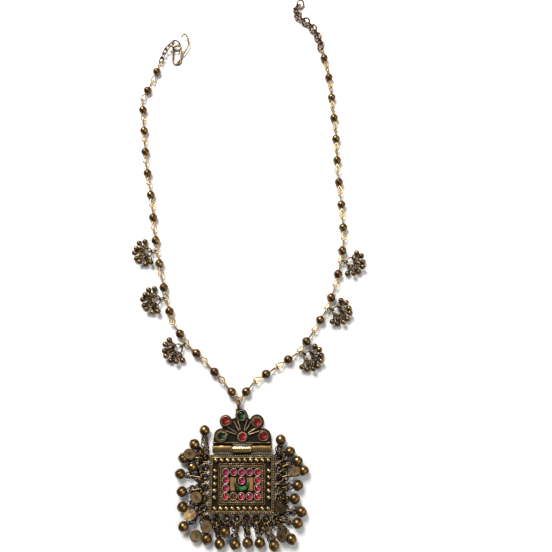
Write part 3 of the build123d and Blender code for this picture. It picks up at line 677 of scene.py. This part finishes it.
# %% [markdown]
# ## Rope rays on the crest
#
# Pairs of wire fan out from the ruby at the crest's foot, twisted into ropes in the two middle pairs and
# plain and tapering in the outer ones, and a rope lies along the crest's foot under them. A rope is two
# strands wound round one line, so each strand is a wire along a corkscrew.

# %% Rays and the rope at the crest's foot
ray_ropes = []
for heading in (25, 67, 113, 154):
    for lean in (-7.0, 7.0):
        turn = math.radians(heading + lean)
        along = Vector((math.cos(turn), math.sin(turn), 0))
        start = foot_spot + along * 3.5
        finish_at = foot_spot + along * (9.4 if heading in (67, 113) else 9.9)
        line = [(*start.xy, 2.45), (*finish_at.xy, 2.45)]
        if heading in (67, 113):
            ray_ropes += rope(line, 0.2, 1.1)
        else:
            ray_ropes.append(tube(walk(line, 0.4), np.linspace(0.34, 0.24, len(walk(line, 0.4)))))
piece("crest_rays", ray_ropes, "ray_brass", "crest_and_chain")
piece("crest_foot_rope", rope([(hinge.x - 15.4, hinge.y + 3.4, 2.15), (hinge.x + 15.4, hinge.y + 3.4, 2.15)],
                              0.24, 1.3), "frame_brass", "crest_and_chain")
piece("plate_head_grains", beaded_row(walk([(hinge.x - 16.0, hinge.y - 3.05, 1.85),
                                            (hinge.x + 16.0, hinge.y - 3.05, 1.85)], 0.8)[1:-1], 0.3),
      "frame_brass", "plate_and_bells")
# %% [markdown]
# ## Cut stones
#
# The CAD's stones have the right size and seat but few facets. Each is replaced by a stone with a table, a
# crown of eight kites and sixteen small facets under them. A drop is the same cut with its outline pulled out
# to a point, so one function makes both from an outline.


# %% Stones
def faceted(outline_at, middle, base, girdle, top):
    """A cut stone. outline_at(turn) is the reach of its girdle at a turn in turns, from 0 to 1."""
    def level(share, height, count, offset=0.0):
        turns = [(n + offset) / count for n in range(count)]
        return [(middle.x + share * outline_at(t % 1.0) * math.cos(2 * math.pi * t),
                 middle.y + share * outline_at(t % 1.0) * math.sin(2 * math.pi * t), height) for t in turns]

    points = (level(0.5, base, 16) + level(1.0, girdle, 16) + level(1.0, girdle + 0.12, 16)
              + level(0.8, girdle + 0.6 * (top - girdle), 8, 0.5) + level(0.56, top, 8))
    faces = grid_faces(3, 16)
    kite, table = 48, 56
    for n in range(8):
        after = (n + 1) % 8
        before = (n - 1) % 8
        rim = [32 + (2 * n + shift) % 16 for shift in (0, 1, 2)]
        faces += [(rim[0], rim[1], kite + n), (rim[1], rim[2], kite + n)]
        faces += [(table + n, kite + before, rim[0]), (table + n, rim[0], kite + n)]
        faces.append((table + n, kite + n, table + after))
    faces.append(tuple(range(table, table + 8)))
    faces.append(tuple(range(16))[::-1])
    return np.array(points, float), faces


def drop_reach(radius, point, heading):
    """The reach of a drop's outline at a turn: a round with one side drawn out to a point."""
    def reach(turn):
        off = abs((turn * 360 - heading + 180) % 360 - 180)
        return radius + (point - radius) * max(0.0, 1 - off / 52.0) ** 1.6
    return reach


def stone(name, reach, girdle, top, finish, base=None):
    """A cut stone in place of one CAD stone."""
    middle = middle_of(name)
    body = "crest_and_chain" if name.startswith("crest_") else "plate_and_bells"
    made = piece("cut_" + name, [faceted(reach, middle, base or girdle - 0.7, girdle, top)],
                 finish, body, smooth=False)
    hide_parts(name)


# the heights of a stone's widest edge and of its flat top, on the plate and on the crest
plate_girdle, plate_table = 3.1, 3.75
crest_girdle, crest_table = 3.3, 4.1
redder = {"border_stone_05", "border_stone_07", "border_stone_09", "border_stone_10", "border_stone_12",
          "border_stone_14"}
for name in border_stones:
    stone(name, lambda turn: 1.6, plate_girdle, plate_table,
          "red_ruby_glass" if name in redder else "ruby_glass")
cut_sizes = {"crest_stone_upper_left": 2.15, "crest_stone_top": 2.3, "crest_stone_lower_right": 2.1,
             "crest_stone_foot": 2.1}
for name, size in cut_sizes.items():
    stone(name, lambda turn, size=size: size, crest_girdle, crest_table, slot_of[name])
stone("crest_stone_upper_right", drop_reach(1.95, 2.9, -90), crest_girdle, crest_table, "red_glass")
stone("crest_stone_lower_left", drop_reach(1.95, 3.0, 20), crest_girdle, crest_table, "dark_green_glass")

centre = middle_of("centre_stone")
crescent_stones = []
for part in loose_parts("crescent_stones"):
    spot = Vector(part["points"].mean(0))
    outward = (spot - centre).xy.normalized()
    lean = math.atan2(outward.y, outward.x)

    def oval(turn, lean=lean):
        along = 2 * math.pi * turn - lean
        return 1 / math.hypot(math.cos(along) / 0.92, math.sin(along) / 1.12)
    crescent_stones.append(faceted(oval, spot, 2.4, 3.1, 3.7))
green = piece("cut_crescent_stones", crescent_stones, "emerald_glass", "plate_and_bells", smooth=False)
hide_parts("crescent_stones")

# %% [markdown]
# ## Grains, patches and the crescent's horns
#
# The channel between the frames holds large grains that nearly touch. Between the stones lie two flat
# patches, uneven from having been pressed in by hand, and two little horns finish the crescent beside the
# ruby.

# %% Large grains
large_grain = ball(1.42, 12, 18)
grain_places = [(plate_middle.x + (n - 4.5) * 3.15, plate_middle.y + side * 12.2, 2.05)
                for side in (-1, 1) for n in range(10)]
grain_places += [(plate_middle.x + side * 14.45, plate_middle.y + (n - 2) * 3.4, 2.05)
                 for side in (-1, 1) for n in range(5)]
piece("plate_large_grains", at_places(large_grain, grain_places), "grain_brass", "plate_and_bells")


# %% Patches and horns
def patch(middle, width, height, top, columns=9, rows=21):
    """A thin pressed sheet with rounded edges and an uneven face."""
    points = []
    for r in range(rows):
        for c in range(columns):
            u, v = 2 * c / (columns - 1) - 1, 2 * r / (rows - 1) - 1
            edge = max(0.0, 1 - u ** 8) * max(0.0, 1 - v ** 12)
            dent = 0.05 * math.sin(5.1 * v + 1.3 * u) + random.uniform(-0.025, 0.025)
            points.append((middle.x + u * width / 2, middle.y + v * height / 2,
                           top - 0.35 + 0.35 * edge + dent * edge))
    faces = [(r * columns + c, r * columns + c + 1, (r + 1) * columns + c + 1, (r + 1) * columns + c)
             for r in range(rows - 1) for c in range(columns - 1)]
    return np.array(points), faces


piece("plate_patches", [patch(plate_middle + Vector((side * 4.9, 0, 0)), 2.85, 7.3, 2.3) for side in (-1, 1)],
      "patch_tan", "plate_and_bells")
scrap = []
for r in range(7):
    for n in range(18):
        turn = 2 * math.pi * n / 18
        crumple = 0.12 * math.sin(3 * turn + r) + random.uniform(-0.06, 0.06)
        reach = 1.35 * r / 6
        scrap.append((empty_cup.x + reach * math.cos(turn), empty_cup.y + reach * math.sin(turn),
                      2.3 + crumple))
piece("cup_foil", [(np.array(scrap), grid_faces(7, 18))], "orange_foil", "plate_and_bells")
horns = []
for side in (-1, 1):
    path = circle((centre.x, centre.y, 3.15), 3.4, start=-90 + side * 78, sweep=side * 38, steps=10)
    horns.append(tube(path, np.linspace(0.5, 0.12, 10)))
piece("crescent_horns", horns, "copper_rim", "plate_and_bells")

# %% [markdown]
# ## The hinge's sleeves
#
# The two outer knuckles are folded from strip and look almost square from above. The middle one is round and
# is polished by rubbing. A sleeve is a row of cross-sections along the hinge's line; a power of the cosine
# and sine turns the round section into a soft square.


# %% Sleeves
def sleeve(start, end, half, squareness, dents=0.0, steps=24, sides=40):
    """A sleeve round the hinge's line, its section from round to square."""
    points = []
    for n in range(steps + 1):
        share = n / steps
        x = start + (end - start) * share
        closing = 0.96 if n in (0, steps) else 1.0
        for s in range(sides):
            turn = 2 * math.pi * s / sides
            cosine, sine = math.cos(turn), math.sin(turn)
            dent = dents * (math.sin(7 * share * math.pi + 3 * turn) + random.uniform(-1, 1)) * 0.5
            reach = (half + dent) * closing
            height = hinge.z + reach * math.copysign(abs(sine) ** squareness, sine)
            points.append((x, hinge.y + reach * math.copysign(abs(cosine) ** squareness, cosine),
                           max(height, 0.01)))
    faces = grid_faces(steps + 1, sides)
    faces += [tuple(range(sides))[::-1], tuple(range(steps * sides, (steps + 1) * sides))]
    return np.array(points), faces


piece("outer_sleeves", [sleeve(hinge.x + side * 5.35, hinge.x + side * 16.0, 1.89, 0.45, 0.02)
                        for side in (-1, 1)], "worn_brown_brass", "crest_and_chain")
piece("middle_sleeve", [sleeve(hinge.x - 4.95, hinge.x + 4.95, 1.89, 0.85, 0.003)], "polished_brass",
      "plate_and_bells")
piece("sleeve_rims", [tube([(hinge.x + x, hinge.y + 1.78 * side, hinge.z + 1.62),
                            (hinge.x + x + 10.5, hinge.y + 1.78 * side, hinge.z + 1.62)], 0.16)
                      for x in (-15.95, 5.45) for side in (-1, 1)], "frame_brass", "crest_and_chain")

# %% [markdown]
# ## Struck faces on the discs
#
# The discs are thin and bear a faint pattern that the photograph doesn't show clearly. A ring of dots round
# a small star is a guess at it. The relief is a sheet whose height is worked out from the distance to the
# middle, laid a hair over the CAD's disc. The discs that hang tilted face the light, so their bronze is
# darker and rougher than the others', or they would shine white.


# %% Disc faces
def disc_frame(part):
    """The middle of a disc and three directions: across, across, and out of its face."""
    out = flat_normal(part)
    if out.z < 0:
        out = -out
    facing = np.abs(part["normals"] @ np.array(out)) > 0.995
    weights = part["areas"][facing]
    middle = Vector((part["middles"][facing] * weights[:, None]).sum(0) / weights.sum())
    across = out.orthogonal().normalized()
    return middle, across, out.cross(across), out


def struck_face(part, side, rings=26, segments=96):
    """A relief of dots, rings and a star, on one side of a disc."""
    middle, across, up, out = disc_frame(part)
    points = []
    for r in range(rings):
        reach = 2.95 * r / (rings - 1)
        for s in range(segments):
            turn = 2 * math.pi * s / segments
            height = 0.05 * math.exp(-((reach - 2.75) / 0.12) ** 2)
            height += 0.09 * math.exp(-((reach - 2.25) / 0.16) ** 2) * max(0.0, math.cos(24 * turn))
            height += 0.04 * math.exp(-((reach - 1.7) / 0.08) ** 2)
            height += 0.08 * math.exp(-((reach - 0.9) / 0.5) ** 2) * max(0.0, math.cos(8 * turn)) ** 2
            height += 0.1 * math.exp(-(reach / 0.3) ** 2)
            drop = 0.06 if r == rings - 1 else 0.0
            place = middle + reach * (math.cos(turn) * across + math.sin(turn) * up)
            points.append(place + side * out * (0.33 + height * 0.8 - drop))
    return np.array(points), grid_faces(rings, segments)


disc_count = 0
for name in ("discs_left", "discs_bottom", "discs_right"):
    for part in loose_parts(name):
        disc_count += 1
        tilted = abs(flat_normal(part).z) < 0.9
        # the tilted discs, which face the window light, get the darker bronze as painted shade
        piece(f"{name}_face_{disc_count}", [struck_face(part, 1), struck_face(part, -1)],
              "tilted_disc_shaded_bronze" if tilted else "disc_bronze", "plate_and_bells")

# %% [markdown]
# ## Jump rings in a heap
#
# Jump rings join the loops, links and bells, and many hang between the rim and the bells. The CAD keeps the
# links that carry a bell, with air between any two. The small rings that crowd round them are laid here and
# coloured near black, so that with their numbers they also paint the shade under the loops and among the
# links, where the floor would show through. Under each loop they lie almost flat, so that the loop stays in
# view, and along each link they lean their own ways. A ring's lean sets how high its middle must be, so that
# its low side rests on the surface.


# %% Jump rings
def leaning_ring(middle, radius, wire, heading, lean):
    """A small ring that leans out of the flat towards a heading, its low side on the surface or above."""
    axis = (math.sin(lean) * math.cos(heading), math.sin(lean) * math.sin(heading), math.cos(lean))
    lowest = radius * math.sin(lean) + wire + 0.02
    place = (middle[0], middle[1], max(middle[2], lowest))
    return tube(circle(place, radius, axis, 22), wire, closed=True, sides=8)


def chance_ring(middle, lean_low, lean_high):
    """One ring of the heap, its size, heading and lean drawn by chance."""
    return leaning_ring(middle, random.uniform(1.45, 1.85), random.uniform(0.3, 0.38),
                        random.uniform(0, 2 * math.pi), math.radians(random.uniform(lean_low, lean_high)))


# how far aside and outwards the flat rings under a loop lie from its middle
under_loop = ((-0.5, 0.3), (0.7, 0.6), (-1.5, 1.5), (1.4, 2.1))
# where along a link its leaning rings sit, from -1 at one end to 1 at the other
along_link = (-0.75, -0.25, 0.3, 0.85)
heap = []
for x, y, outward in loop_spots:
    away = Vector((math.cos(math.radians(outward)), math.sin(math.radians(outward)), 0))
    aside = Vector((-away.y, away.x, 0))
    for shift, reach in under_loop:
        spot = Vector((hinge.x + x, hinge.y + y, 0.4)) + aside * shift + away * reach
        heap.append(chance_ring(spot, 2, 9))
    spot = Vector((hinge.x + x, hinge.y + y, 0.5)) + away * 3.6
    heap.append(chance_ring(spot, 12, 30))
for name in ("links_left", "links_bottom", "links_right"):
    for part in loose_parts(name):
        link_middle = Vector((part["points"].min(0) + part["points"].max(0)) / 2)
        along = Vector(np.linalg.svd(part["points"] - np.array(link_middle), full_matrices=False)[2][0])
        half = (np.abs((part["points"] - np.array(link_middle)) @ np.array(along))).max()
        for share in along_link:
            spot = link_middle + along * half * share
            spot += Vector((random.uniform(-0.9, 0.9), random.uniform(-0.9, 0.9), 0.4))
            heap.append(chance_ring(spot, 25, 65))
print("jump rings in the heap:", len(heap))
# the heap's bronze is near black: painted shade under the loops and among the links
piece("plate_jump_rings", heap, "heap_shade_bronze", "plate_and_bells")

# %% [markdown]
# ## Seams on the bells
#
# A small bell is pressed in two halves. The halves meet in a seam that runs over the top and opens into a
# slit below, whose edges are turned out a little. The seam's plane is read from the flat walls of the CAD's
# slit, and the wire follows the ball closely, so it reads as a fine line.


# %% Bell seams
def bell_seam(part):
    """The seam and the lips of the slit of one bell."""
    middle = ball_middle(part, 2.8)[0]
    out = flat_normal(part)
    shank = Vector(part["points"][np.linalg.norm(part["points"] - np.array(middle), axis=1).argmax()])
    back = (shank - middle)
    back = (back - out * back.dot(out)).normalized()
    shapes = [tube(circle(middle, 2.8, out, 40, -90, 180, back), 0.09, sides=6)]
    for side in (-1, 1):
        lip = circle(middle + out * side * 0.42, 2.76, out, 34, -84, 168, -back)
        shapes.append(tube(lip, 0.12, sides=6))
    return shapes


bell_parts = [part for name in ("bells_left", "bells_bottom", "bells_right") for part in loose_parts(name)]
seams = []
for part in bell_parts:
    if np.linalg.norm(np.ptp(part["points"], axis=0)) > 9.0:
        seams += bell_seam(part)
cad_front = cad_box[0].y / mm
for points, faces in seams:
    points[:, 1] = np.maximum(points[:, 1], cad_front + 0.01)
    points[:, 2] = np.maximum(points[:, 2], 0.02)
piece("bell_seams", seams, "bell_brass", "plate_and_bells")

# %% [markdown]
# ## Collars on the chain's beads
#
# Each bead is two pressed cups round a wire. Where the wire comes out, the cup's edge is turned over into a
# small collar. The wire's own line tells which way a bead points, so the collars are placed from the wires.


# %% Collars and seams of the beads
def bead_collars(part):
    """A collar at both ends of the bead that sits on one wire, and the seam between its cups."""
    points = part["points"]
    middle = Vector((points.min(0) + points.max(0)) / 2)
    spread = np.linalg.svd(points - points.mean(0), full_matrices=False)[2][0]
    along = Vector(spread).normalized()
    reach = (points - np.array(middle)) @ np.array(along)
    middle += along * (reach.min() + reach.max()) / 2
    shapes = [tube(circle(middle + along * side * 2.4, 0.72, along, 20), 0.2, closed=True, sides=6)
              for side in (-1, 1)]
    shapes.append(tube(circle(middle, 2.49, along, 36), 0.07, closed=True, sides=6))
    return shapes


for side in ("left", "right"):
    collars = [shape for part in loose_parts(f"chain_{side}_wires") for shape in bead_collars(part)]
    for points, faces in collars:
        points[:, 2] = np.maximum(points[:, 2], 0.01)
    piece(f"chain_{side}_collars", collars, "chain_bronze", "crest_and_chain")

# %% [markdown]
# ## Curls in the clusters
#
# In each cluster every ball hangs on a curl of thin wire, and the curls crowd over each other. The middle of
# the bunch is dark from that crowding and from painted shade, which their finish lays deep into it. The CAD
# keeps one plain loop a ball. Here a second, wider curl is laid over each one: a loop shaped like a leaf,
# with a slow wave, tilted to one side and the other by turns.


# %% Cluster curls
def leaf_curl(ball_at, ring_middle, up, tilt, width):
    """A closed leaf-shaped curl of wire from a ball towards the middle of its ring."""
    inward = (ring_middle - ball_at).normalized()
    side = inward.cross(up).normalized()
    across = side * math.cos(tilt) + side.cross(inward) * math.sin(tilt)
    lift = across.cross(inward)
    start, end = 1.35, (ring_middle - ball_at).length - 1.5
    path = []
    for n in range(44):
        turn = 2 * math.pi * n / 44
        along = start + (end - start) * (0.5 - 0.5 * math.cos(turn))
        open_by = width * math.copysign(abs(math.sin(turn)) ** 1.25, math.sin(turn))
        wave = 0.28 * math.sin(1.5 * math.pi * (along - start) / (end - start))
        path.append(ball_at + inward * along + across * (open_by + wave) + lift * 0.25 * math.sin(2 * turn))
    return tube(path, 0.3, closed=True)


cluster_names = sorted(name for name in nodes if name.startswith("cluster_"))
for name in cluster_names:
    parts = loose_parts(name)
    spheres = []
    rings = []
    for part in parts:
        middle, agreeing = ball_middle(part, 1.65)
        (spheres if agreeing > 15 else rings).append((part, middle))
    ring_part = max(rings, key=lambda entry: np.ptp(entry[0]["points"], axis=0).max())[0]
    ring_middle = Vector((ring_part["points"].min(0) + ring_part["points"].max(0)) / 2)
    up = Vector(np.linalg.svd(ring_part["points"] - np.array(ring_middle), full_matrices=False)[2][2])
    up = up if up.z > 0 else -up
    curls = []
    for number, (part, middle) in enumerate(spheres):
        tilt = math.radians((28, -24, 12)[number % 3] + random.uniform(-8, 8))
        curls.append(leaf_curl(middle, ring_middle, up, tilt, random.uniform(1.05, 1.3)))
        collar = middle + (ring_middle - middle).normalized() * 1.5
        curls.append(tube(circle(collar, 0.55, ring_middle - middle, 16), 0.2, closed=True, sides=6))
    for points, faces in curls:
        points[:, 2] = np.maximum(points[:, 2], 0.02)
    print(name, len(spheres), "balls")
    # the curls' finish paints shade into the middle of the bunch
    piece(name + "_curls", curls, "curl_brass", "crest_and_chain")

# %% [markdown]
# ## Floor, light and camera
#
# The photograph looks down on the necklace from about 16 degrees off the vertical, from 35 cm away. The
# camera is put at that place. Its lens is a touch wider than the one that matches the pendant's size in the
# photograph, because the model's end chain lies straighter and would leave the picture. A big soft light
# from the upper left makes the highlights on the upper left of every ball and soft shadows to the right.

# %% Floor
bpy.ops.mesh.primitive_plane_add(size=6.0, location=(0, 0, cad_box[0].z - 0.00002))
floor = bpy.context.object
floor.name = "floor"
paper = Finish("floor_paper")
paper.set(base_color=(0.9, 0.89, 0.87), roughness=0.9)
floor.data.materials.append(paper.material)

# %% Camera
look_down = math.radians(16.0)
camera_distance = 0.349
view_centre = Vector((17.14, -22.2, 0.0)) * mm
camera = bpy.data.objects.new("camera", bpy.data.cameras.new("camera"))
bpy.context.collection.objects.link(camera)
camera.location = view_centre + camera_distance * Vector((0, -math.sin(look_down), math.cos(look_down)))
camera.rotation_euler = (look_down, 0, 0)
camera.data.sensor_width = 36.0
camera.data.lens = 38.4
camera.data.clip_start, camera.data.clip_end = 0.01, 10.0
bpy.context.scene.camera = camera
print("camera at", [round(c, 3) for c in camera.location])


# %% Lights
def area_light(name, place, aim, size, power, colour=(1, 1, 1)):
    """A soft square light at a place in metres, turned towards an aim."""
    lamp = bpy.data.lights.new(name, "AREA")
    lamp.size, lamp.energy, lamp.color = size, power, colour
    made = bpy.data.objects.new(name, lamp)
    made.location = place
    made.rotation_euler = (Vector(aim) - Vector(place)).to_track_quat("-Z", "Y").to_euler()
    bpy.context.collection.objects.link(made)
    return made


area_light("window", (-0.25, 0.5, 0.68), (0, 0, 0), 0.42, 13.0, (1.0, 0.98, 0.95))
area_light("fill", (0.9, -0.3, 0.9), (0, 0, 0), 1.2, 9.0, (0.96, 0.97, 1.0))
world = bpy.data.worlds.new("studio")
world.use_nodes = True
world.node_tree.nodes["Background"].inputs["Color"].default_value = (0.95, 0.96, 1.0, 1.0)
world.node_tree.nodes["Background"].inputs["Strength"].default_value = 0.14
bpy.context.scene.world = world
bpy.context.scene.view_settings.view_transform = "Standard"
